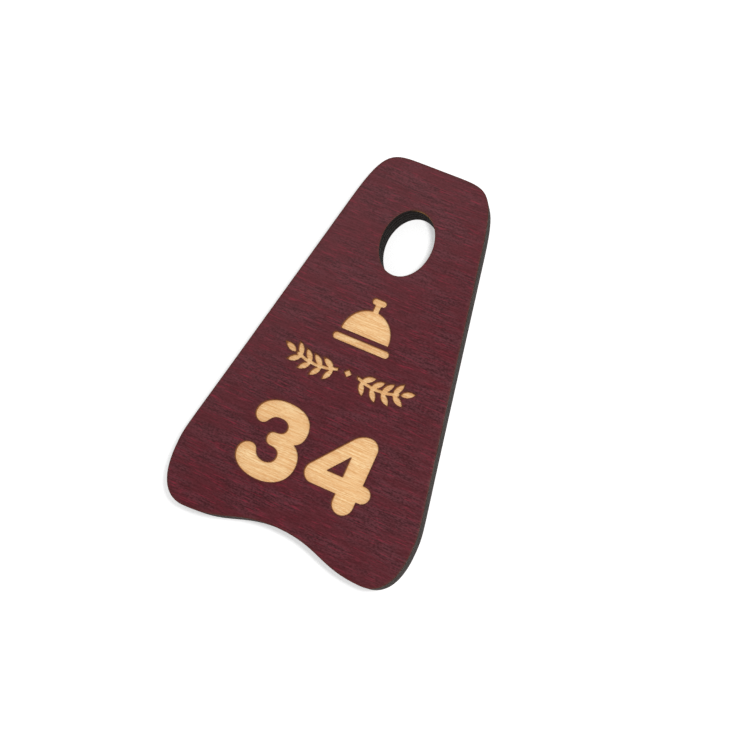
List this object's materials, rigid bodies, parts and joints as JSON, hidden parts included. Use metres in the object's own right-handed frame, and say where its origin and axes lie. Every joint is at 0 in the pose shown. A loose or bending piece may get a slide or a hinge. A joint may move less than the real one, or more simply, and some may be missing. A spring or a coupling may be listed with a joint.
{
  "type": "numbered cloakroom tag",
  "caption": "Flat plywood cloakroom tag with rounded shoulders, an oval hanging hole, an arched foot, a desk bell, leaf sprigs and a number engraved through its dark stain.",
  "frame": {"origin": "centre of the back face's bounding rectangle, on the surface the tag lies on", "axes": "+X across the tag to the reader's right, +Y from the feet to the top edge with the hanging hole, +Z out of the engraved front face"},
  "size_m": [0.0506, 0.08, 0.0062],
  "materials": {
    "stain_coat": "dark red-brown stain under a thin satin lacquer",
    "veneer": "raw birch, laser-charred at its cut edges",
    "crossband": "end-grain birch, charred grey-brown by the laser",
    "glue": "cured resin film, dark"
  },
  "bodies": {
    "root": {"back_coat": "stain_coat", "back_veneer": "veneer", "back_glue_line": "glue", "back_crossband": "crossband", "inner_back_glue_line": "glue", "core_veneer": "veneer", "inner_front_glue_line": "glue", "front_crossband": "crossband", "front_glue_line": "glue", "front_veneer": "veneer", "front_coat": "stain_coat", "front_coat_patch_in_four": "stain_coat"}
  },
  "joints": []
}
